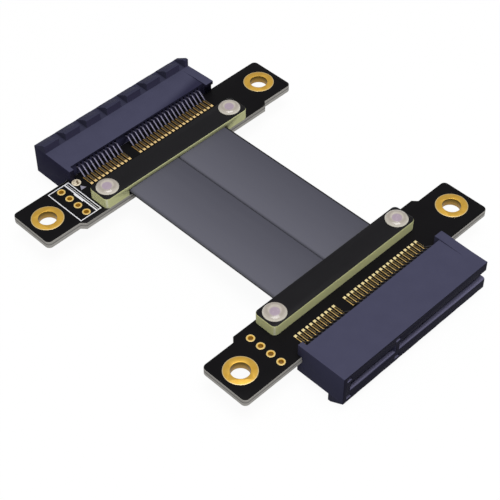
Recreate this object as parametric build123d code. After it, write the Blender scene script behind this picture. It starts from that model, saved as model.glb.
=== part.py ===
from build123d import *
import os

os.makedirs("parts", exist_ok=True)

# Circuit boards: two alike, one at each end of the cable
board_length = 66.6
board_width = 11.0
board_thickness = 1.6
board_corner_radius = 1.0
board_gap = 42.26
bulge_length = 50.8
bulge_depth = 1.0
bulge_step = 0.9
plating = 0.06

# Mounting holes and header holes in each board
mount_hole_radius = 1.85
mount_ring_radius = 3.25
mount_hole_end_inset = 4.3
mount_hole_inset = 5.45
header_pitch = 2.54
header_count = 4
header_first_inset = 1.49
header_hole_radius = 0.5
header_ring_radius = 0.85
small_hole_sides = 12

# Contact rows: a short and a long one on each face, with a key between them
contact_pitch = 1.0
short_count = 11
long_count = 21
key_gap = 3.0
first_contact_x = -16.5
contact_width = 0.32
contact_thickness = 0.2
contact_clearance = 0.1
tail_start = 7.2
tail_end = 8.95
contact_rise_gap = 0.6
contact_exit_depth = 1.0
contact_bump_depth = 3.6
contact_bump_reach = 0.2
contact_tip_depth = 2.3
contact_tip_lift = 0.4

# Slot housing
housing_left = -19.3
housing_right = 19.95
housing_half = 3.45
housing_depth = 9.95
board_edge_clearance = 0.2
ear_depth = 1.15
left_ear_length = 1.1
right_ear_length = 2.0
ledge_thickness = 0.8
ledge_relief = 0.55
band_height = 0.25
band_fade = 6.2
slot_half = 0.9
slot_depth = 8.3
slot_margin = 1.1
slot_lead_in = 0.3
key_width = 1.7
key_nose_width = 0.8
key_nose_length = 1.2
channel_mouth_wall = 1.35
channel_roof_wall = 0.45
pocket_length = 1.2
pocket_height = 0.85
pocket_depth = 1.0
pocket_level = 2.3
pocket_left_margin = 0.85

# Ribbed lip along one face of the housing
lip_height = 1.75
lip_depth = 3.5
lip_flat = 0.6
lip_nose_height = 0.04
rib_count = 7
rib_length = 3.7
rib_pitch = 5.483
rim_length = 0.95

# Cover strips and their rivets
strip_end_margin = 2.65
strip_width = 5.35
strip_thickness = 2.4
strip_corner_radius = 1.0
strip_front_wall = 0.95
rivet_ribbon_gap = 3.42
rivet_inset = 1.75
rivet_shank_radius = 1.0
rivet_hole_clearance = 0.05
rivet_head_radius = 2.28
rivet_rim_height = 0.35
rivet_crown_radius = 1.2
rivet_head_height = 1.05
rivet_tail_radius = 1.5
rivet_tail_height = 0.9

# Ribbons and the solder bars at their ends
ribbon_width = 13.2
ribbon_thickness = 1.4
ribbon_edge_radius = 0.6
ribbon_seam = 0.06
ribbon_side_clearance = 0.3
ribbon_top_clearance = 0.05
ribbon_reach = 2.0
solder_bar_width = 11.6
solder_bar_length = 1.2
solder_bar_height = 0.5

# Levels and stations worked out from the sizes above
board_half = board_thickness / 2
housing_back = board_width + board_edge_clearance
housing_mouth = housing_back + housing_depth
middle_level = housing_half + lip_height
short_row_x = [first_contact_x + contact_pitch * n for n in range(short_count)]
long_row_x = [short_row_x[-1] + key_gap + contact_pitch * n for n in range(long_count)]
key_x = short_row_x[-1] + key_gap / 2
rivet_x = ribbon_seam / 2 + ribbon_width + rivet_ribbon_gap
strip_half_length = rivet_x + strip_end_margin
mount_x = board_length / 2 - mount_hole_end_inset
header_x = -(strip_half_length + mount_x - mount_ring_radius) / 2
strip_front = strip_width - bulge_depth
groove_height = ribbon_thickness + ribbon_top_clearance
contact_exit_level = housing_half - contact_exit_depth
contact_bump_level = slot_half - contact_bump_reach
contact_tip_level = slot_half + contact_tip_lift


def box_between(low, high):
    """Box between two opposite corners."""
    length, width, height = [high[axis] - low[axis] for axis in range(3)]
    corner = (Align.MIN, Align.MIN, Align.MIN)
    return Pos(*low) * Box(length, width, height, align=corner)


def prism(outline, x_low, x_high):
    """Solid whose side outline of (y, z) points runs between two X stations."""
    side = Plane.YZ.offset(x_low) * make_face(Polyline(*outline, close=True))
    return extrude(side, amount=x_high - x_low, dir=(1, 0, 0))


def sheet_outline(path, thickness):
    """Closed outline of sheet metal that follows a path of (y, z) points."""
    points = [Vector(*point) for point in path]
    runs = [(end - start).normalized() for start, end in zip(points, points[1:])]
    normals = [Vector(-run.Y, run.X) for run in runs]
    upper = []
    lower = []
    for point, before, after in zip(points, [normals[0]] + normals, normals + [normals[-1]]):
        shift = (before + after) * (thickness / 2 / (1 + before.dot(after)))
        upper.append(((point + shift).X, (point + shift).Y))
        lower.append(((point - shift).X, (point - shift).Y))
    return upper + lower[::-1]


def small_peg(radius, height):
    """Upright peg with a few flat sides that just clear the radius, for small repeated holes."""
    outline = RegularPolygon(radius, small_hole_sides, major_radius=False)
    return Pos(0, 0, -height / 2) * extrude(outline, amount=height, dir=(0, 0, 1))


def mount_sleeve():
    """Plated mounting hole with its rings a little proud of both faces."""
    height = board_thickness + 2 * plating
    return Cylinder(mount_ring_radius, height) - Cylinder(mount_hole_radius, height)


def header_sleeve():
    """Plated hole for a header pin."""
    height = board_thickness + 2 * plating
    return small_peg(header_ring_radius, height) - small_peg(header_hole_radius, height)


def mount_places():
    return [Pos(side * mount_x, mount_hole_inset, 0) for side in (-1, 1)]


def header_places():
    return [
        Pos(header_x, header_first_inset + header_pitch * n, 0)
        for n in range(header_count)
    ]


def rivet_places():
    return [Pos(side * rivet_x, rivet_inset, 0) for side in (-1, 1)]


def board():
    """Board with a shallow bulge along its cable edge and all its holes."""
    end_x = board_length / 2
    step_x = bulge_length / 2
    bulge_x = step_x - bulge_step
    outline = make_face(Polyline(
        (-end_x, 0), (-step_x, 0), (-bulge_x, -bulge_depth), (bulge_x, -bulge_depth),
        (step_x, 0), (end_x, 0), (end_x, board_width), (-end_x, board_width),
        close=True,
    ))
    end_corners = [v for v in outline.vertices() if abs(v.X) > step_x + 1e-6]
    outline = fillet(end_corners, board_corner_radius)
    plate = Pos(0, 0, -board_half) * extrude(outline, amount=board_thickness, dir=(0, 0, 1))
    holes = [place * Cylinder(mount_ring_radius, board_thickness) for place in mount_places()]
    header_hole = small_peg(header_ring_radius, board_thickness)
    holes += [place * header_hole for place in header_places()]
    rivet_hole = small_peg(rivet_shank_radius + rivet_hole_clearance, board_thickness)
    holes += [place * rivet_hole for place in rivet_places()]
    return plate - holes


def contact_path():
    """Middle line of a contact: tail on the board, rise, spring down to the slot, tip."""
    tail_level = board_half + contact_thickness / 2
    return [
        (tail_start, tail_level),
        (tail_end, tail_level),
        (housing_back - contact_rise_gap, contact_exit_level),
        (housing_mouth - contact_bump_depth, contact_bump_level),
        (housing_mouth - contact_tip_depth, contact_tip_level),
    ]


def contact_row(stations, side):
    """Formed contacts, each cut and bent from one strip of sheet metal."""
    path = [(y, side * z) for y, z in contact_path()]
    outline = sheet_outline(path, contact_thickness)
    contact = prism(outline, -contact_width / 2, contact_width / 2)
    return Compound(children=[Pos(x, 0, 0) * contact for x in stations])


def contact_channel(side):
    """Room for one contact: its floor follows the spring, its roof lets the spring lift."""
    rise_top, bump = contact_path()[2:4]
    spring = Vector(*bump) - Vector(*rise_top)
    under = Vector(spring.Y, -spring.X).normalized() * (contact_thickness / 2)
    floor_start = Vector(*rise_top) + under
    slope = spring.Y / spring.X
    roof = housing_half - channel_roof_wall
    channel_end = housing_mouth - channel_mouth_wall
    inside_slot = slot_half / 2
    slot_station = floor_start.X + (inside_slot - floor_start.Y) / slope
    outline = [
        (floor_start.X, floor_start.Y),
        (slot_station, inside_slot),
        (channel_end, inside_slot),
        (channel_end, roof),
        (floor_start.X, roof),
    ]
    half_width = contact_width / 2 + contact_clearance
    return prism([(y, side * z) for y, z in outline], -half_width, half_width)


def ribbed_lip():
    """Raised lip at the mouth, cut into blocks by grooves, with a narrow rim at its end."""
    lip_top = housing_half + lip_height
    lip_back = housing_mouth - lip_depth
    profile = [
        (lip_back, housing_half),
        (lip_back, lip_top),
        (lip_back + lip_flat, lip_top),
        (housing_mouth, housing_half + lip_nose_height),
        (housing_mouth, housing_half),
    ]
    blocks = []
    for n in range(rib_count):
        start = housing_left + rib_pitch * n
        blocks.append(prism(profile, start, start + rib_length))
    blocks.append(prism(profile, housing_right - rim_length, housing_right))
    return blocks


def end_band(side):
    """Low wedge over the open end that fades towards the mouth."""
    band_start = housing_right - right_ear_length
    outline = [
        (housing_back - ear_depth, housing_half),
        (housing_back - ear_depth, housing_half + band_height),
        (housing_back, housing_half + band_height),
        (housing_back + band_fade, housing_half),
    ]
    return prism([(y, side * z) for y, z in outline], band_start, housing_right)


def card_slot():
    """Slot for the card edge, open at one end, with a flared mouth and a key left standing."""
    slot_left = short_row_x[0] - slot_margin
    slot_bottom = housing_mouth - slot_depth
    outer = slot_half + slot_lead_in
    outline = [
        (slot_bottom, -slot_half),
        (housing_mouth - slot_lead_in, -slot_half),
        (housing_mouth, -outer),
        (housing_mouth, outer),
        (housing_mouth - slot_lead_in, slot_half),
        (slot_bottom, slot_half),
    ]
    opening = prism(outline, slot_left, housing_right)
    nose_start = housing_mouth - key_nose_length
    key_outline = make_face(Polyline(
        (key_x - key_width / 2, slot_bottom),
        (key_x - key_width / 2, nose_start),
        (key_x - key_nose_width / 2, housing_mouth),
        (key_x + key_nose_width / 2, housing_mouth),
        (key_x + key_width / 2, nose_start),
        (key_x + key_width / 2, slot_bottom),
        close=True,
    ))
    key = Pos(0, 0, -outer) * extrude(key_outline, amount=2 * outer, dir=(0, 0, 1))
    return opening - key


def mouth_pockets():
    """Blind square pockets in the mouth face beside the slot's end and at the key."""
    pocket = Box(pocket_length, pocket_depth, pocket_height)
    end_x = housing_left + pocket_left_margin + pocket_length / 2
    pockets = []
    for x in (end_x, key_x):
        for side in (-1, 1):
            place = Pos(x, housing_mouth - pocket_depth / 2, side * pocket_level)
            pockets.append(place * pocket)
    return pockets


def slot_housing():
    """Moulded housing with ears astride the board, lip, slot, channels and pockets."""
    ear_back = housing_back - ear_depth
    body = box_between(
        (housing_left, housing_back, -housing_half),
        (housing_right, housing_mouth, housing_half),
    )
    left_ear = box_between(
        (housing_left, ear_back, -housing_half),
        (housing_left + left_ear_length, housing_back, housing_half),
    )
    right_ear = box_between(
        (housing_right - right_ear_length, ear_back, -housing_half),
        (housing_right, housing_back, housing_half),
    )
    body += [left_ear, right_ear, end_band(1), end_band(-1)] + ribbed_lip()
    board_notch = box_between(
        (housing_left, ear_back, -board_half),
        (housing_right, housing_back, board_half),
    )
    ledge_cut = box_between(
        (housing_right - right_ear_length, ear_back, board_half),
        (housing_right, ear_back + ledge_relief, housing_half + band_height - ledge_thickness),
    )
    cuts = [board_notch, ledge_cut, card_slot()] + mouth_pockets()
    for side in (-1, 1):
        channel = contact_channel(side)
        cuts += [Pos(x, 0, 0) * channel for x in short_row_x + long_row_x]
    return body - cuts


def cover_strip():
    """Strip over the ribbon ends, with a groove beneath and two rivet holes."""
    outline = Rectangle(2 * strip_half_length, strip_width)
    outline = fillet(outline.vertices(), strip_corner_radius)
    middle = strip_front - strip_width / 2
    strip = Pos(0, middle, board_half) * extrude(outline, amount=strip_thickness, dir=(0, 0, 1))
    groove_x = ribbon_width + ribbon_side_clearance
    groove = box_between(
        (-groove_x, -bulge_depth, board_half),
        (groove_x, strip_front - strip_front_wall, board_half + groove_height),
    )
    rivet_hole = small_peg(rivet_shank_radius + rivet_hole_clearance, strip_thickness)
    rivet_hole = Pos(0, 0, board_half + strip_thickness / 2) * rivet_hole
    return strip - groove - [place * rivet_hole for place in rivet_places()]


def rivet():
    """Snap rivet with a crowned head, a shank through strip and board and a barbed tip."""
    seat = board_half + strip_thickness
    crown = seat + rivet_head_height
    tail_bottom = -board_half - rivet_tail_height
    profile = make_face(Polyline(
        (0, crown),
        (0, tail_bottom),
        (rivet_tail_radius, -board_half),
        (rivet_shank_radius, -board_half),
        (rivet_shank_radius, seat),
        (rivet_head_radius, seat),
        (rivet_head_radius, seat + rivet_rim_height),
        (rivet_crown_radius, crown),
        close=True,
    ))
    return revolve(Plane.XZ * profile, axis=Axis.Z)


def ribbon(side):
    """Flat ribbon lying on both boards, its ends inside the strips' grooves."""
    length = board_gap + 2 * ribbon_reach
    middle_x = side * (ribbon_seam / 2 + ribbon_width / 2)
    middle_z = middle_level + board_half + ribbon_thickness / 2
    body = Box(ribbon_width, length, ribbon_thickness)
    body = fillet(body.edges().filter_by(Axis.Y), ribbon_edge_radius)
    return Pos(middle_x, 0, middle_z) * body


def solder_bar(side):
    """Bar of solder that joins one ribbon's wires to the board, under the strip."""
    middle_x = side * (ribbon_seam / 2 + ribbon_width / 2)
    bar = Box(solder_bar_width, solder_bar_length, solder_bar_height)
    return Pos(
        middle_x,
        ribbon_reach + solder_bar_length / 2,
        board_half + solder_bar_height / 2,
    ) * bar


def save(shape, name):
    shape.label = name
    export_step(shape, f"parts/{name}.step")


end_housing = slot_housing()
end_board = board()
end_strip = cover_strip()
end_rivet = rivet()

# The near end lies turned over, while strips, rivets and ribbons are on top at both ends
ends = {
    "a": (Pos(0, board_gap / 2, middle_level), Pos(0, board_gap / 2, middle_level)),
    "b": (
        Pos(0, -board_gap / 2, middle_level) * Rot(180, 0, 0),
        Pos(0, -board_gap / 2, middle_level) * Rot(0, 0, 180),
    ),
}

for end, (place, top_place) in ends.items():
    save(place * end_board, f"board_{end}")
    save(place * end_housing, f"slot_housing_{end}")
    for face, side in (("ribbed", 1), ("plain", -1)):
        save(place * contact_row(short_row_x, side), f"contacts_{face}_short_{end}")
        save(place * contact_row(long_row_x, side), f"contacts_{face}_long_{end}")
    left, right = mount_places()
    save(place * left * mount_sleeve(), f"mount_sleeve_left_{end}")
    save(place * right * mount_sleeve(), f"mount_sleeve_right_{end}")
    header_sleeves = [spot * header_sleeve() for spot in header_places()]
    save(place * Compound(children=header_sleeves), f"header_sleeves_{end}")
    save(top_place * end_strip, f"cover_strip_{end}")
    for name, spot in zip(("left", "right"), rivet_places()):
        save(top_place * spot * end_rivet, f"rivet_{name}_{end}")
    for name, side in (("left", -1), ("right", 1)):
        save(top_place * solder_bar(side), f"solder_bar_{name}_{end}")

save(ribbon(-1), "ribbon_left")
save(ribbon(1), "ribbon_right")
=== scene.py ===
import math

import bpy
from mathutils import Matrix, Vector


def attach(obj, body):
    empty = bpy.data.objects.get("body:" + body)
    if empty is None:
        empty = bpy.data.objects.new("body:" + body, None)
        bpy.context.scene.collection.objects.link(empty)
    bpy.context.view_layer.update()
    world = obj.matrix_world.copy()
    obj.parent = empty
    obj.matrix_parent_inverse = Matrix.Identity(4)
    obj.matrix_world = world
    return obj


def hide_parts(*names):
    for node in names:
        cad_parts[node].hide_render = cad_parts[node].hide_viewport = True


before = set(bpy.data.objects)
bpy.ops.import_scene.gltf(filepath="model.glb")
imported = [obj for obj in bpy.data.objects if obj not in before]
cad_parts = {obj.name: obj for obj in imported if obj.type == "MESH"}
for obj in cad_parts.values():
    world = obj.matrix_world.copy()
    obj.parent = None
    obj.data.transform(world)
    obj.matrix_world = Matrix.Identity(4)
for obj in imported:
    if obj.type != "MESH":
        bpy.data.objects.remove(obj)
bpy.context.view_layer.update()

MM = 0.001
ENDS = ("a", "b")

# The frame, in millimetres: each board's cable edge, its middle level and half its thickness
CABLE_EDGE = 21.13
MIDDLE_LEVEL = 5.2
BOARD_HALF = 0.8

# Holes in each board: places from its middle and from its cable edge, and radii
MOUNT_X = 29.0
MOUNT_INSET = 5.45
MOUNT_RING = 3.25
HEADER_X = -22.525
HEADER_FIRST = 1.49
HEADER_PITCH = 2.54
HEADER_COUNT = 4
HEADER_HOLE = 0.5
HEADER_RING = 0.85
RIVET_X = 16.65
RIVET_INSET = 1.75
RIVET_HOLE = 1.05

# The housing's ends, half its height, its mouth face from the middle, and its lip's depth
HOUSING_LEFT = -19.3
HOUSING_RIGHT = 19.95
HOUSING_HALF = 3.45
MOUTH = 42.28
LIP_DEPTH = 3.5

# An edge whose ends come this close to a hole or to a face lies on it
HOLE_MARGIN = 0.1
FACE_MARGIN = 0.05

# Contacts stand in a short and a long row, with their tails flat on the board
CONTACT_PITCH = 1.0
SHORT_START = -16.5
SHORT_COUNT = 11
LONG_START = -3.5
LONG_COUNT = 21
TAIL_START = 7.2
TAIL_TOP = 1.0

# Strip and ribbons: a ribbon's outer edge is measured from the middle
STRIP_THICKNESS = 2.4
STRIP_TOP = BOARD_HALF + STRIP_THICKNESS
RIBBON_WIDTH = 13.2
RIBBON_EDGE = 13.23
RIBBON_THICKNESS = 1.4
RIBBON_MIDDLE = BOARD_HALF + RIBBON_THICKNESS / 2

# Gold lands under the contacts
LAND_WIDTH = 0.58
LAND_START = 6.6
LAND_END = 9.3
LAND_HEIGHT = 0.04

# Print on the board: a frame with two inner lines, a block beside them and a triangle
PRINT_HEIGHT = 0.02
PRINT_LINE = 0.2
FRAME_LEFT = -24.87
FRAME_RIGHT = -19.82
FRAME_START = 0.3
FRAME_END = 10.25
THICK_X = -20.8
THICK_LINE = 0.3
THIN_X = -20.36
THIN_LINE = 0.1
BLOCK_LEFT = -21.2
BLOCK_START = 4.2
BLOCK_END = 7.0
TRIANGLE_INSET = 7.2
TRIANGLE_RADIUS = 0.75

# Test pad, plating and rivets
PAD_X = -18.64
PAD_INSET = 9.15
PAD_RADIUS = 0.95
PLATING = 0.06
HEAD_RADIUS = 2.28
HEAD_RIM = 0.3
HEAD_HEIGHT = 0.95
HEAD_LOWER_EASE = 0.08
HEAD_UPPER_EASE = 0.1
DOME_RINGS = 7
DOME_STEP = 12
SHANK_RADIUS = 1.0
CORE_SHIFT = 0.3
DULL_RING = 1.55
BARB_RADIUS = 1.5
BARB_RIM = 0.05
BARB_HEIGHT = 0.9
TIP_RADIUS = 0.12

# Widths of the eased edges
HOUSING_EASE = 0.1
BOARD_EASE = 0.07
STRIP_EASE = 0.14
CONTACT_EASE = 0.035
RING_EASE = 0.05
LAND_EASE = 0.015
PRINT_EASE = 0.006

# Points closer than this are merged, and faces that meet flatter than this, in degrees
MERGE_GAP = 0.0005
FLAT_ANGLE = 0.3

# Floor: its own grey, and the glow that the camera sees in its place
FLOOR_GREY = 0.4
FLOOR_GLOW = 1.1
GLOW_SHARE = 0.86


# Node tree helpers


class Value:
    """A number or colour on a node socket; the operators add the nodes that work it out."""

    def __init__(self, finish, socket):
        self.finish = finish
        self.socket = socket

    def math(self, operation, *numbers):
        return self.finish.add("Math", {"operation": operation}, dict(enumerate(numbers)))

    def __add__(self, other):
        return self.math("ADD", self, other)

    def __radd__(self, other):
        return self.math("ADD", other, self)

    def __sub__(self, other):
        return self.math("SUBTRACT", self, other)

    def __rsub__(self, other):
        return self.math("SUBTRACT", other, self)

    def __mul__(self, other):
        return self.math("MULTIPLY", self, other)

    def __rmul__(self, other):
        return self.math("MULTIPLY", other, self)

    def __truediv__(self, other):
        return self.math("DIVIDE", self, other)

    def __abs__(self):
        return self.math("ABSOLUTE", self)

    def repeat(self, length):
        """What is left over after whole lengths are taken off."""
        return self.math("MODULO", self, length)

    def root(self):
        return self.math("SQRT", self)

    def clamped(self):
        return self.finish.add("Clamp", {}, {"Value": self})

    def step(self, low, high):
        """0 below low, 1 above high and smooth between them."""
        return self.finish.add(
            "MapRange",
            {"interpolation_type": "SMOOTHSTEP"},
            {"Value": self, "From Min": low, "From Max": high},
        )


class Finish:
    """A material with a Principled shader, and the nodes that drive it."""

    def __init__(self, name, **fixed):
        self.material = bpy.data.materials.new(name)
        self.material.use_nodes = True
        self.tree = self.material.node_tree
        self.shader = self.tree.nodes["Principled BSDF"]
        for socket, value in fixed.items():
            self.shader.inputs[socket.replace("_", " ")].default_value = value
        self.place = self.add("TexCoord", output="Object")

    def add(self, kind, settings=None, sockets=None, output=0):
        """Adds a node: its settings are set first, then its sockets get values or links."""
        node = self.tree.nodes.new("ShaderNode" + kind)
        for name, value in (settings or {}).items():
            setattr(node, name, value)
        for name, value in (sockets or {}).items():
            self.feed(node.inputs[name], value)
        return Value(self, node.outputs[output])

    def feed(self, socket, value):
        """Gives a socket a link, a colour or a plain value."""
        if isinstance(value, Value):
            self.tree.links.new(value.socket, socket)
        elif isinstance(value, tuple) and len(value) == 3 and socket.type == "RGBA":
            socket.default_value = (*value, 1.0)
        else:
            socket.default_value = value

    def drive(self, **sockets):
        """Links what varies over the surface to the shader."""
        for name, value in sockets.items():
            self.feed(self.shader.inputs[name.replace("_", " ")], value)

    def axis(self, name):
        """One coordinate of the place on the piece, in millimetres."""
        return self.add("SeparateXYZ", {}, {0: self.place}, output=name) * 1000.0

    def level(self):
        """Height above the middle of the boards, in millimetres."""
        return self.axis("Z") - MIDDLE_LEVEL

    def far_end(self):
        """1 at the far end and 0 at the near one."""
        return self.axis("Y").step(-1.0, 1.0)

    def normal(self, name):
        """One coordinate of the surface's normal."""
        geometry = self.add("NewGeometry", output="Normal")
        return self.add("SeparateXYZ", {}, {0: geometry}, output=name)

    def facing(self, name, low, high):
        """1 where the surface faces along an axis, either way, and 0 where it lies beside it."""
        return abs(self.normal(name)).step(low, high)

    def radius(self, x, y, shift=0.0):
        """Distance from the nearest of four upright axes: (x, y) and its mirror images.

        The axes stand off from those places by shift towards -X and towards -Y.
        """
        across = abs(self.axis("X") + shift) - x
        along = abs(self.axis("Y") + shift) - y
        return distance(across, along)

    def noise(self, grain, detail=2.0, stretch=(1.0, 1.0, 1.0)):
        """Noise whose features are about as large as grain, in millimetres."""
        scale = tuple(1.0 / (grain * MM * part) for part in stretch)
        mapped = self.add("Mapping", {}, {"Vector": self.place, "Scale": scale})
        return self.add("TexNoise", {}, {"Vector": mapped, "Scale": 1.0, "Detail": detail})

    def blend(self, factor, first, second):
        """Mixes two colours."""
        return self.add(
            "MixRGB",
            {"blend_type": "MIX"},
            {"Fac": factor, "Color1": first, "Color2": second},
        )

    def bump(self, height, strength, depth):
        """Relief from a height, with its depth in millimetres."""
        sockets = {"Height": height, "Strength": strength, "Distance": depth * MM}
        self.drive(Normal=self.add("Bump", {}, sockets))


def distance(across, along):
    """Length of the straight way that goes across and along by these amounts."""
    return (across * across + along * along).root()


def linear(code):
    """Scene colour from a six-digit screen colour."""
    parts = [int(code[index:index + 2], 16) / 255 for index in (0, 2, 4)]
    return tuple(
        part / 12.92 if part <= 0.04045 else ((part + 0.055) / 1.055) ** 2.4
        for part in parts
    )


# Finishes


def lip_mask(finish):
    """1 outside on the ribbed lip, which is on top at the far end and below at the near one."""
    level = finish.level()
    ribbed = (finish.axis("Y") * level).step(0.0, 1.0)
    outside = abs(level).step(HOUSING_HALF - 0.1, HOUSING_HALF - 0.02)
    lip_start = MOUTH - LIP_DEPTH
    return ribbed * outside * abs(finish.axis("Y")).step(lip_start - 0.1, lip_start - 0.02)


def mouth_light_mask(finish):
    """1 on the upper and lower walls just inside the mouth, where light is painted."""
    inside = 1.0 - abs(finish.level()).step(HOUSING_HALF - 0.3, HOUSING_HALF - 0.15)
    near = abs(finish.axis("Y")).step(MOUTH - 1.0, MOUTH - 0.8)
    return inside * near * finish.facing("Z", 0.45, 0.65)


def moulded_plastic():
    """Dark blue-grey plastic with painted light and shade: broad faces paler than side faces,
    the far end's side faces and the mouth face darker, the lip's faces toned by which way they
    face, and painted light just inside the mouth.
    """
    finish = Finish("moulded_plastic", Specular_IOR_Level=0.01)
    cloud = finish.noise(3.0, detail=3.0)
    grain = finish.noise(0.15, detail=1.0)
    mouth = abs(finish.axis("Y")).step(MOUTH - 0.12, MOUTH - 0.04)
    # Painted shade: side faces darker than broad ones, and darker still at the far end
    side = finish.blend(finish.far_end(), linear("404056"), linear("302f45"))
    # Painted shade on the mouth face
    side = finish.blend(mouth, side, linear("272634"))
    broad = finish.blend(cloud, linear("45455a"), linear("4b4b61"))
    # Painted light and shade: the lip's faces toned by which way they face
    lip = finish.blend(finish.facing("Y", 0.7, 0.9), linear("39394c"), linear("3d3b52"))
    # Broad faces paler than side faces: painted light and shade
    tone = finish.blend(finish.facing("Z", 0.88, 0.97), side, broad)
    tone = finish.blend(lip_mask(finish), tone, lip)
    # Painted light on the walls just inside the mouth
    tone = finish.blend(mouth_light_mask(finish), tone, linear("73718c"))
    finish.drive(Base_Color=tone, Roughness=0.5 + 0.12 * cloud)
    finish.bump(grain, 0.15, 0.012)
    return finish.material


def board_mask():
    """Black solder mask on both faces; two layers of laminate and a grey line on the edges."""
    finish = Finish("board_mask", Specular_IOR_Level=0.06)
    flat = finish.facing("Z", 0.75, 0.9)
    cloud = finish.noise(4.0, detail=2.0)
    weave = finish.noise(0.35, detail=1.0, stretch=(1.0, 1.0, 0.2))
    level = finish.level()
    line_level = 0.1
    line = 1.0 - abs(level - line_level).step(0.05, 0.2)
    mask = finish.blend(cloud, linear("100f11"), linear("151416"))
    edge = finish.blend(level.step(-0.1, 0.1), linear("dbd8d2"), linear("b9b6b0"))
    edge = finish.blend(0.7 * line, edge, linear("5c5b5f"))
    edge = finish.blend(0.3 * weave, edge, linear("a8a49e"))
    finish.drive(Base_Color=finish.blend(flat, edge, mask), Roughness=0.7 - 0.25 * flat)
    finish.bump(weave, 0.15, 0.02)
    return finish.material


def strip_laminate():
    """Black mask on the faces; bare glass laminate on the edges, with a painted highlight round
    the corners.
    """
    finish = Finish("strip_laminate", Specular_IOR_Level=0.2)
    flat = finish.facing("Z", 0.55, 0.75)
    # Painted highlight on the rounded corners
    corner_highlight = (abs(finish.normal("X")) * abs(finish.normal("Y"))).step(0.42, 0.5)
    weave = finish.noise(0.5, detail=2.0, stretch=(1.0, 1.0, 0.15))
    cloud = finish.noise(3.0, detail=2.0)
    edge = finish.blend(weave, linear("dfe29c"), linear("f3f5c0"))
    edge = finish.blend(corner_highlight, edge, linear("fdffda"))
    mask = finish.blend(cloud, linear("121114"), linear("171619"))
    finish.drive(Base_Color=finish.blend(flat, edge, mask), Roughness=0.5 - 0.1 * flat)
    finish.bump(weave, 0.15, 0.02)
    return finish.material


def gold_ring():
    """Gold plating, a little uneven, with a painted highlight along the outer rim and a hole
    that darkens upwards.
    """
    finish = Finish("gold_ring")
    cloud = finish.noise(1.2, detail=3.0)
    flat = finish.facing("Z", 0.2, 0.7)
    radius = finish.radius(MOUNT_X, CABLE_EDGE + MOUNT_INSET)
    # Painted highlight along the ring's outer edge
    rim = radius.step(MOUNT_RING - 0.19, MOUNT_RING - 0.11)
    wall = finish.blend(finish.level().step(-0.7, 0.7), linear("b58d40"), linear("6e5719"))
    face = finish.blend(cloud, linear("e3ad36"), linear("f3c65e"))
    face = finish.blend(0.7 * rim, face, linear("f3e2b4"))
    finish.drive(
        Base_Color=finish.blend(flat, wall, face),
        Metallic=0.6 + 0.1 * cloud,
        Roughness=0.35 + 0.15 * cloud,
    )
    finish.bump(cloud, 0.15, 0.02)
    return finish.material


def gold_header():
    """Header rings: a painted highlight on the pale outer rim, deeper gold towards the hole and
    duller gold inside it.
    """
    finish = Finish("gold_header")
    cloud = finish.noise(0.8, detail=2.0)
    first = CABLE_EDGE + HEADER_FIRST - HEADER_PITCH / 2
    along = (abs(finish.axis("Y")) - first).repeat(HEADER_PITCH) - HEADER_PITCH / 2
    radius = distance(finish.axis("X") - HEADER_X, along)
    # Painted highlight: the outer part of the ring pale
    rim = radius.step(HEADER_HOLE + 0.1, HEADER_HOLE + 0.2)
    flat = finish.facing("Z", 0.2, 0.7)
    deep = finish.blend(cloud, linear("ecb238"), linear("fcd264"))
    deep = finish.blend(flat, linear("c8982c"), deep)
    finish.drive(
        Base_Color=finish.blend(rim, deep, linear("ecd08a")),
        Metallic=0.15 + 0.25 * rim,
        Roughness=0.35 + 0.15 * cloud,
    )
    return finish.material


def worn_pad():
    """Pale test pad with dark probe marks inside its rim."""
    finish = Finish("worn_pad", Metallic=0.2, Roughness=0.4)
    along = abs(finish.axis("Y")) - (CABLE_EDGE + PAD_INSET)
    radius = distance(finish.axis("X") - PAD_X, along)
    inner = 1.0 - radius.step(PAD_RADIUS - 0.4, PAD_RADIUS - 0.2)
    marks = finish.noise(0.55, detail=1.0).step(0.48, 0.54)
    worn = 0.85 * inner * marks
    finish.drive(Base_Color=finish.blend(worn, linear("f4e6cc"), linear("5e441e")))
    return finish.material


def gold_land():
    """Gold on the lands, brightest at their bare ends, with the far end darker than the near end
    as painted shade.
    """
    finish = Finish("gold_land")
    cloud = finish.noise(0.8, detail=2.0)
    tail_start = CABLE_EDGE + TAIL_START
    bare = 1.0 - abs(finish.axis("Y")).step(tail_start - 0.1, tail_start + 0.1)
    # Painted shade: the far end's gold darker than the near end's
    far = finish.far_end()
    near_tone = finish.blend(cloud, linear("d6ac5c"), linear("e4c47c"))
    far_tone = finish.blend(cloud, linear("b0863e"), linear("c09850"))
    covered = finish.blend(far, near_tone, far_tone)
    bright = finish.blend(far, linear("fce8ac"), linear("eac988"))
    finish.drive(
        Base_Color=finish.blend(bare, covered, bright),
        Metallic=0.35 - 0.15 * bare,
        Roughness=0.35 + 0.15 * cloud,
    )
    finish.bump(cloud, 0.1, 0.01)
    return finish.material


def contact_plating(name, first, second):
    """Springs in two tones; the tails on the board are dull, partly with flux and partly as a
    painted dark reflection.
    """
    finish = Finish(name)
    cloud = finish.noise(0.8, detail=2.0)
    raised = abs(finish.level()).step(TAIL_TOP + 0.02, TAIL_TOP + 0.15)
    bright = finish.blend(cloud, linear(first), linear(second))
    # Tails: flux tone and painted dark reflection
    flux_and_dark_reflection = finish.blend(cloud, linear("332e22"), linear("453d2e"))
    finish.drive(
        Base_Color=finish.blend(raised, flux_and_dark_reflection, bright),
        Metallic=0.3 + 0.2 * raised,
        Roughness=0.45 - 0.05 * raised,
    )
    return finish.material


def tinned_copper():
    """Bright solder, a little cloudy."""
    finish = Finish("tinned_copper", Metallic=1.0)
    cloud = finish.noise(0.5, detail=2.0)
    finish.drive(
        Base_Color=finish.blend(cloud, linear("b0aca4"), linear("d0ccc4")),
        Roughness=0.3 + 0.2 * cloud,
    )
    return finish.material


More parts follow.
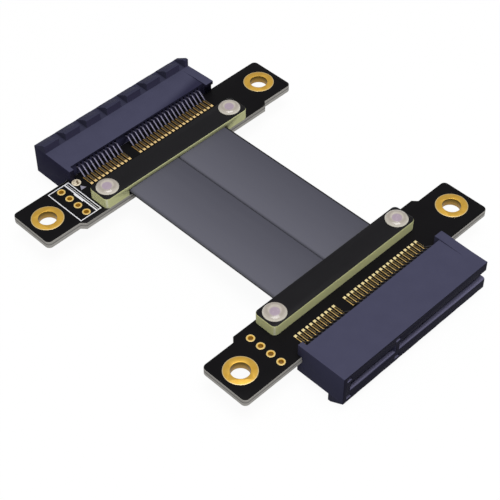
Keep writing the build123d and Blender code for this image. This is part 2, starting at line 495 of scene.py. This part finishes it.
def ribbon_jacket():
    """Smooth grey jacket with painted light, lighter towards each ribbon's left edge, and
    painted shade along its right edge and low sides.
    """
    finish = Finish("ribbon_jacket", Specular_IOR_Level=0.15)
    across = finish.axis("X")
    left_one = 1.0 - across.step(-0.02, 0.02)
    share = (across + RIBBON_EDGE * left_one) / RIBBON_WIDTH
    streak = finish.noise(2.0, detail=2.0, stretch=(1.0, 16.0, 1.0))
    # Painted light: each ribbon lighter towards its left edge and darker towards its right
    tone = finish.blend(share.clamped(), linear("63636e"), linear("4a4a55"))
    tone = finish.blend(0.15 * streak, tone, linear("6c6c76"))
    # Painted shade along each ribbon's right edge and on its lower sides
    right_edge_shade = (share - 0.03 * left_one).step(0.95, 0.96)
    above = finish.level().step(RIBBON_MIDDLE + 0.05, RIBBON_MIDDLE + 0.15)
    low_side_shade = (finish.facing("X", 0.5, 0.7) - above).clamped()
    edge_shade = (right_edge_shade + low_side_shade).clamped()
    finish.drive(
        Base_Color=finish.blend(edge_shade, tone, linear("18181d")),
        Roughness=0.42 + 0.08 * streak,
    )
    finish.bump(streak, 0.1, 0.02)
    return finish.material


def rivet_plastic():
    """Milky rivet plastic: pale at the rim, a dull ring, and the shank showing through mauve."""
    finish = Finish("rivet_plastic", Coat_Weight=0.5, Coat_Roughness=0.08)
    rivet_y = CABLE_EDGE + RIVET_INSET
    radius = finish.radius(RIVET_X, rivet_y)
    core_radius = finish.radius(RIVET_X, rivet_y, CORE_SHIFT)
    cloud = finish.noise(0.7, detail=2.0)
    outer = core_radius.step(SHANK_RADIUS - 0.15, SHANK_RADIUS + 0.15)
    rim = radius.step(HEAD_RADIUS - 0.28, HEAD_RADIUS - 0.13)
    ring = 1.0 - abs(radius - DULL_RING).step(0.1, 0.45)
    core = finish.blend(cloud, linear("a493a2"), linear("b8a7b5"))
    milk = finish.blend(cloud, linear("bcb3a8"), linear("cfc7bb"))
    milk = finish.blend(0.45 * ring, milk, linear("8f867d"))
    finish.drive(
        Base_Color=finish.blend(rim, finish.blend(outer, core, milk), linear("e6e0d2")),
        Roughness=0.2 + 0.12 * cloud,
    )
    return finish.material


def print_white():
    """White print; the small triangle beside the frame is faded."""
    finish = Finish("print_white", Specular_IOR_Level=0.2)
    cloud = finish.noise(0.4, detail=2.0)
    faded = finish.axis("X").step(FRAME_RIGHT + 0.2, FRAME_RIGHT + 0.3)
    ink = finish.blend(cloud, linear("e4e4e8"), linear("f6f6f8"))
    finish.drive(
        Base_Color=finish.blend(faded, ink, linear("93909e")),
        Roughness=0.6 + 0.1 * cloud,
    )
    return finish.material


# Modelling helpers


def activate(piece):
    """Makes a piece the only one selected, and the active one."""
    bpy.ops.object.select_all(action="DESELECT")
    piece.select_set(True)
    bpy.context.view_layer.objects.active = piece


def edit(piece, faces=False):
    """Opens a piece for work on its chosen edges, or on its chosen faces."""
    activate(piece)
    bpy.context.tool_settings.mesh_select_mode = (False, not faces, faces)
    bpy.ops.object.mode_set(mode="EDIT")


def done():
    bpy.ops.object.mode_set(mode="OBJECT")


def end_place(end, about="X"):
    """Matrix from an end's own coordinates to the shared frame, in millimetres.

    The near end is the far one turned over, about X, or for what lies on the upper side at
    both ends turned round, about Z.
    """
    if end == "a":
        return Matrix.Translation((0, CABLE_EDGE, MIDDLE_LEVEL))
    turn = Matrix.Rotation(math.pi, 4, about)
    return Matrix.Translation((0, -CABLE_EDGE, MIDDLE_LEVEL)) @ turn


def bake_place(piece):
    """Moves a piece's own place and scale into its mesh."""
    piece.data.transform(piece.matrix_basis)
    piece.matrix_basis = Matrix.Identity(4)


def settle(piece, place):
    """Puts a piece modelled in millimetres into its place in the frame, in metres."""
    bake_place(piece)
    piece.data.transform(Matrix.Scale(MM, 4) @ place)
    piece.data.update()


def finish_piece(piece, material, angle=35):
    """Smooth shading, material, slot and body."""
    piece.data.materials.clear()
    piece.data.materials.append(material)
    activate(piece)
    bpy.ops.object.shade_smooth_by_angle(angle=math.radians(angle))
    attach(piece, "root")


def copy_piece(piece, name):
    twin = piece.copy()
    twin.data = piece.data.copy()
    twin.name = name
    bpy.context.collection.objects.link(twin)
    return twin


def node_copy(node, name):
    """Copy of a CAD node, its triangles merged into flat faces."""
    piece = bpy.data.objects.new(name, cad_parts[node].data.copy())
    bpy.context.collection.objects.link(piece)
    edit(piece)
    bpy.ops.mesh.select_all(action="SELECT")
    bpy.ops.mesh.remove_doubles(threshold=MERGE_GAP * MM)
    bpy.ops.mesh.dissolve_limited(angle_limit=math.radians(FLAT_ANGLE))
    done()
    return piece


def choose_nothing(mesh):
    for part in (*mesh.vertices, *mesh.edges, *mesh.polygons):
        part.select = False


def sharp_edges(mesh, least=30):
    """Edges whose two faces meet at more than an angle, in degrees."""
    normals = {}
    for face in mesh.polygons:
        for key in face.edge_keys:
            normals.setdefault(key, []).append(face.normal)
    limit = math.cos(math.radians(least))
    found = []
    for edge in mesh.edges:
        sides = normals.get(edge.key, [])
        if len(sides) == 2 and sides[0].dot(sides[1]) < limit:
            found.append(edge)
    return found


def soften(piece, width, where, segments=2, unit=MM):
    """Rounds the sharp edges whose two ends pass a test.

    The width and the ends are in millimetres, and unit is a millimetre in the mesh.
    """
    mesh = piece.data
    points = [vertex.co / unit for vertex in mesh.vertices]
    choose_nothing(mesh)
    for edge in sharp_edges(mesh):
        first, second = edge.vertices
        edge.select = where(points[first], points[second])
    edit(piece)
    bpy.ops.mesh.bevel(
        offset=width * unit, segments=segments, affect="EDGES", clamp_overlap=True)
    done()


def everywhere(first, second):
    """Test that every edge passes."""
    return True


# Pieces that finish the solids


def finished_housing(end, material):
    """Slot housing with its outer edges eased."""
    name = f"slot_housing_{end}"
    piece = node_copy(name, f"moulding_{end}")
    to_end = end_place(end).inverted()

    def outer(first, second):
        """Whether an edge lies on a broad face, an end face or the mouth face."""
        ends = [to_end @ point for point in (first, second)]
        return (
            all(abs(point.z) > HOUSING_HALF - FACE_MARGIN for point in ends)
            or all(point.x < HOUSING_LEFT + FACE_MARGIN for point in ends)
            or all(point.x > HOUSING_RIGHT - FACE_MARGIN for point in ends)
            or all(point.y > MOUTH - CABLE_EDGE - FACE_MARGIN for point in ends)
        )

    soften(piece, HOUSING_EASE, outer)
    finish_piece(piece, material)
    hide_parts(name)


def header_insets():
    """Places of the header holes, from the board's cable edge."""
    return [HEADER_FIRST + HEADER_PITCH * n for n in range(HEADER_COUNT)]


def finished_board(end, material):
    """Board with the edges of its outline eased."""
    name = f"board_{end}"
    piece = node_copy(name, f"laminate_{end}")
    to_end = end_place(end).inverted()
    holes = [(side * MOUNT_X, MOUNT_INSET, MOUNT_RING) for side in (-1, 1)]
    holes += [(HEADER_X, inset, HEADER_RING) for inset in header_insets()]
    holes += [(side * RIVET_X, RIVET_INSET, RIVET_HOLE) for side in (-1, 1)]

    def outline(first, second):
        """Whether both ends of an edge are clear of every hole."""
        return all(
            math.hypot(point.x - x, point.y - y) > radius + HOLE_MARGIN
            for point in (to_end @ first, to_end @ second)
            for x, y, radius in holes
        )

    soften(piece, BOARD_EASE, outline)
    finish_piece(piece, material)
    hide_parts(name)


def finished_strip(end, material):
    """Cover strip with its upper outline eased."""
    name = f"cover_strip_{end}"
    piece = node_copy(name, f"cover_{end}")
    top = MIDDLE_LEVEL + STRIP_TOP
    rivet_y = CABLE_EDGE + RIVET_INSET

    def upper_outline(first, second):
        """Whether an edge lies on the top, clear of the rivet holes."""
        return all(
            point.z > top - FACE_MARGIN
            and math.hypot(abs(point.x) - RIVET_X, abs(point.y) - rivet_y)
            > RIVET_HOLE + HOLE_MARGIN
            for point in (first, second)
        )

    soften(piece, STRIP_EASE, upper_outline)
    finish_piece(piece, material)
    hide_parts(name)


def finished_ribbon(side, material):
    """Ribbon with its rounded edges shaded smooth."""
    name = f"ribbon_{side}"
    piece = node_copy(name, f"jacket_{side}")
    finish_piece(piece, material, angle=50)
    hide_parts(name)


def finished_contacts(end, materials):
    """Contacts with their stamped edges eased.

    The materials are the ribbed face's and the plain face's.
    """
    for face, material in zip(("ribbed", "plain"), materials):
        for row in ("short", "long"):
            name = f"contacts_{face}_{row}_{end}"
            piece = node_copy(name, f"springs_{face}_{row}_{end}")
            soften(piece, CONTACT_EASE, everywhere, segments=1)
            finish_piece(piece, material)
            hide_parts(name)


def finished_mount_rings(end, material):
    """Mounting hole plating with its rims rounded over."""
    for side in ("left", "right"):
        name = f"mount_sleeve_{side}_{end}"
        piece = node_copy(name, f"mount_ring_{side}_{end}")
        soften(piece, RING_EASE, everywhere)
        finish_piece(piece, material)
        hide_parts(name)


# Pieces modelled anew


def new_cylinder(name, radius, low, high, x, y, sides=48):
    """Upright cylinder between two levels."""
    bpy.ops.mesh.primitive_cylinder_add(
        vertices=sides, radius=radius, depth=high - low, location=(x, y, (low + high) / 2))
    piece = bpy.context.object
    piece.name = name
    return piece


def joined(pieces, name):
    bpy.ops.object.select_all(action="DESELECT")
    for piece in pieces:
        piece.select_set(True)
    bpy.context.view_layer.objects.active = pieces[0]
    bpy.ops.object.join()
    whole = bpy.context.object
    whole.name = name
    return whole


def header_ring(name, inset):
    """Plated header hole: a drum with a bore bridged through it."""
    half = BOARD_HALF + PLATING
    piece = new_cylinder(name, HEADER_RING, -half, half, HEADER_X, inset, sides=32)
    choose_nothing(piece.data)
    for face in piece.data.polygons:
        face.select = abs(face.normal.z) > 0.9
    edit(piece, faces=True)
    bpy.ops.mesh.inset(thickness=HEADER_RING - HEADER_HOLE)
    bpy.ops.mesh.bridge_edge_loops()
    done()
    soften(piece, RING_EASE, everywhere, unit=1.0)
    bake_place(piece)
    return piece


def header_rings(end, material):
    rings = [header_ring(f"ring_{n}", inset) for n, inset in enumerate(header_insets())]
    whole = joined(rings, f"header_rings_{end}")
    settle(whole, end_place(end))
    finish_piece(whole, material)
    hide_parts(f"header_sleeves_{end}")


def turned(name, stations, sides=56):
    """Round solid raised ring by ring through (radius, height) stations."""
    radius, height = stations[0]
    bpy.ops.mesh.primitive_circle_add(
        vertices=sides, radius=radius, fill_type="NGON", location=(0, 0, height))
    piece = bpy.context.object
    piece.name = name
    edit(piece, faces=True)
    for (before, low), (after, high) in zip(stations, stations[1:]):
        bpy.ops.mesh.extrude_region_move(TRANSFORM_OT_translate={"value": (0, 0, high - low)})
        share = after / before
        bpy.ops.transform.resize(value=(share, share, 1.0), center_override=(0, 0, high))
    bpy.ops.mesh.select_all(action="SELECT")
    bpy.ops.mesh.normals_make_consistent(inside=False)
    done()
    return piece


def rivet_stations():
    """Barbed tip, shank, then a head that rises from a rim to a shallow dome."""
    dome_radius = HEAD_RADIUS - HEAD_UPPER_EASE
    stations = [
        (TIP_RADIUS, -BOARD_HALF - BARB_HEIGHT),
        (BARB_RADIUS, -BOARD_HALF - BARB_RIM),
        (BARB_RADIUS, -BOARD_HALF),
        (SHANK_RADIUS, -BOARD_HALF),
        (SHANK_RADIUS, STRIP_TOP),
        (HEAD_RADIUS - HEAD_LOWER_EASE, STRIP_TOP),
        (HEAD_RADIUS, STRIP_TOP + HEAD_LOWER_EASE),
        (HEAD_RADIUS, STRIP_TOP + HEAD_RIM - HEAD_UPPER_EASE),
        (dome_radius, STRIP_TOP + HEAD_RIM),
    ]
    for n in range(1, DOME_RINGS + 1):
        rise = math.radians(DOME_STEP * n)
        height = STRIP_TOP + HEAD_RIM + (HEAD_HEIGHT - HEAD_RIM) * math.sin(rise)
        stations.append((dome_radius * math.cos(rise), height))
    return stations


def rivets(material):
    for end in ENDS:
        for name, side in (("left", -1), ("right", 1)):
            piece = turned(f"rivet_head_{name}_{end}", rivet_stations())
            shift = Matrix.Translation((side * RIVET_X, RIVET_INSET, 0))
            settle(piece, end_place(end, about="Z") @ shift)
            finish_piece(piece, material, angle=40)
            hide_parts(f"rivet_{name}_{end}")


def slab(name, left, right, start, stop, height, ease):
    """Thin bar with eased upper edges, lying on the board's face."""
    bpy.ops.mesh.primitive_cube_add(
        size=1.0,
        location=((left + right) / 2, (start + stop) / 2, BOARD_HALF + height / 2),
        scale=(right - left, stop - start, height),
    )
    piece = bpy.context.object
    piece.name = name
    bake_place(piece)
    middle = BOARD_HALF + height / 2

    def upper(first, second):
        """Whether an edge reaches the bar's top."""
        return first.z > middle or second.z > middle

    soften(piece, ease, upper, unit=1.0)
    return piece


def contact_places():
    """Places of all contacts of one face along X."""
    short = [SHORT_START + CONTACT_PITCH * n for n in range(SHORT_COUNT)]
    return short + [LONG_START + CONTACT_PITCH * n for n in range(LONG_COUNT)]


def lands(end, face, material):
    """Gold lands under the contacts of one face."""
    half = LAND_WIDTH / 2
    first = slab("land", -half, half, LAND_START, LAND_END, LAND_HEIGHT, LAND_EASE)
    row = []
    for n, x in enumerate(contact_places()):
        land = copy_piece(first, f"land_{n}")
        land.data.transform(Matrix.Translation((x, 0, 0)))
        row.append(land)
    bpy.data.objects.remove(first)
    whole = joined(row, f"lands_{face}_{end}")
    if face == "plain":
        whole.data.transform(Matrix.Scale(-1, 4, (0, 0, 1)))
        whole.data.flip_normals()
    settle(whole, end_place(end))
    finish_piece(whole, material)


def long_line(x, width, start, stop):
    """Left, right, start and end of a printed line that runs along the frame's long side."""
    return (x - width / 2, x + width / 2, start, stop)


def printed_lines(end, material):
    """Printed frame round the header holes, its inner lines, a block and a triangle."""
    half = PRINT_LINE / 2
    left = FRAME_LEFT - half
    right = FRAME_RIGHT + half
    low = FRAME_START + half
    high = FRAME_END - half
    lines = [
        long_line(FRAME_LEFT, PRINT_LINE, low, high),
        long_line(FRAME_RIGHT, PRINT_LINE, low, high),
        long_line(THICK_X, THICK_LINE, low, high),
        long_line(THIN_X, THIN_LINE, low, high),
        (left, right, FRAME_START - half, low),
        (left, right, high, FRAME_END + half),
        (BLOCK_LEFT, THICK_X - THICK_LINE / 2, BLOCK_START, BLOCK_END),
    ]
    strokes = [
        slab(f"stroke_{n}", *line, PRINT_HEIGHT, PRINT_EASE) for n, line in enumerate(lines)
    ]
    top = BOARD_HALF + PRINT_HEIGHT
    triangle = new_cylinder(
        "triangle", TRIANGLE_RADIUS, BOARD_HALF, top, PAD_X, TRIANGLE_INSET, sides=3)
    bake_place(triangle)
    whole = joined([*strokes, triangle], f"print_{end}")
    settle(whole, end_place(end))
    finish_piece(whole, material)


def test_pad(end, material):
    """Small round pad beside the housing's ear."""
    piece = new_cylinder(
        f"test_pad_{end}", PAD_RADIUS, BOARD_HALF, BOARD_HALF + LAND_HEIGHT, PAD_X, PAD_INSET)
    soften(piece, LAND_EASE, everywhere, unit=1.0)
    settle(piece, end_place(end))
    finish_piece(piece, material)


def dress_solder_bars(material):
    """Gives the solder bars a material in place of the plain one."""
    for end in ENDS:
        for side in ("left", "right"):
            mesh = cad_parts[f"solder_bar_{side}_{end}"].data
            mesh.materials.clear()
            mesh.materials.append(material)


# Stage, lamps and camera


def floor_material():
    """Pale floor that the camera, glossy and transmitted rays see as near white."""
    finish = Finish("floor_paper", Roughness=0.9, Specular_IOR_Level=0.1)
    finish.shader.inputs["Base Color"].default_value = (FLOOR_GREY, FLOOR_GREY, FLOOR_GREY, 1.0)
    direct = finish.add("LightPath", output="Is Camera Ray")
    glossy = finish.add("LightPath", output="Is Glossy Ray")
    through = finish.add("LightPath", output="Is Transmission Ray")
    seen = (direct + glossy + through).clamped()
    glow = finish.add("Emission", {}, {"Color": (1.0, 1.0, 1.0), "Strength": FLOOR_GLOW})
    mixed = finish.tree.nodes.new("ShaderNodeMixShader")
    finish.feed(mixed.inputs[0], seen * GLOW_SHARE)
    finish.tree.links.new(finish.shader.outputs[0], mixed.inputs[1])
    finish.tree.links.new(glow.socket, mixed.inputs[2])
    output = finish.tree.nodes["Material Output"]
    finish.tree.links.new(mixed.outputs[0], output.inputs["Surface"])
    return finish.material


def add_floor():
    bpy.ops.mesh.primitive_plane_add(size=6.0, location=(0, 0, 0))
    floor = bpy.context.object
    floor.name = "floor"
    floor.data.materials.append(floor_material())


def add_lamp(name, place, target, size, power):
    """Square lamp that faces a target."""
    lamp = bpy.data.lights.new(name, "AREA")
    lamp.size = size
    lamp.energy = power
    holder = bpy.data.objects.new(name, lamp)
    bpy.context.collection.objects.link(holder)
    holder.location = place
    holder.rotation_euler = (Vector(target) - Vector(place)).to_track_quat("-Z", "Y").to_euler()


def add_lights():
    """Soft key light almost overhead, a little towards the near end, and an even world."""
    add_lamp("lamp_over", place=(-0.04, -0.15, 0.8), target=(0, -0.03, 0), size=0.5, power=4.7)
    world = bpy.data.worlds.new("studio")
    world.use_nodes = True
    background = world.node_tree.nodes["Background"]
    background.inputs["Color"].default_value = (1.0, 1.0, 1.0, 1.0)
    background.inputs["Strength"].default_value = 0.36
    bpy.context.scene.world = world


def add_camera():
    """Camera above the near left, at the photograph's viewing angle."""
    eye = Vector((-135.43, -136.33, 198.48)) * MM
    forward = Vector((0.4839, 0.4876, -0.7267)).normalized()
    right = Vector((0.708, -0.7062, -0.0024)).normalized()
    up = right.cross(forward).normalized()
    camera = bpy.data.cameras.new("camera")
    camera.lens = 100.6
    camera.sensor_width = 36.0
    camera.clip_start = 0.01
    camera.clip_end = 10.0
    holder = bpy.data.objects.new("camera", camera)
    bpy.context.collection.objects.link(holder)
    turn = Matrix((right, up, -forward)).transposed()
    holder.matrix_world = Matrix.Translation(eye) @ turn.to_4x4()
    bpy.context.scene.camera = holder


add_camera()
add_floor()
add_lights()

plastic = moulded_plastic()
mask = board_mask()
laminate = strip_laminate()
ring_gold = gold_ring()
header_gold = gold_header()
land_gold = gold_land()
pad_metal = worn_pad()
# The plain face's springs are given darker tones than the ribbed face's: painted dark reflection
platings = (
    contact_plating("contact_plating_ribbed", "5f5c6e", "706d82"),
    contact_plating("contact_plating_plain", "2e2c34", "3a3842"),
)
white_print = print_white()
jacket = ribbon_jacket()

for end in ENDS:
    finished_housing(end, plastic)
    finished_board(end, mask)
    finished_strip(end, laminate)
    finished_contacts(end, platings)
    finished_mount_rings(end, ring_gold)
    header_rings(end, header_gold)
    lands(end, "ribbed", land_gold)
    lands(end, "plain", land_gold)
    printed_lines(end, white_print)
    test_pad(end, pad_metal)

rivets(rivet_plastic())

for side in ("left", "right"):
    finished_ribbon(side, jacket)

dress_solder_bars(tinned_copper())

bpy.context.scene.view_settings.view_transform = "Standard"
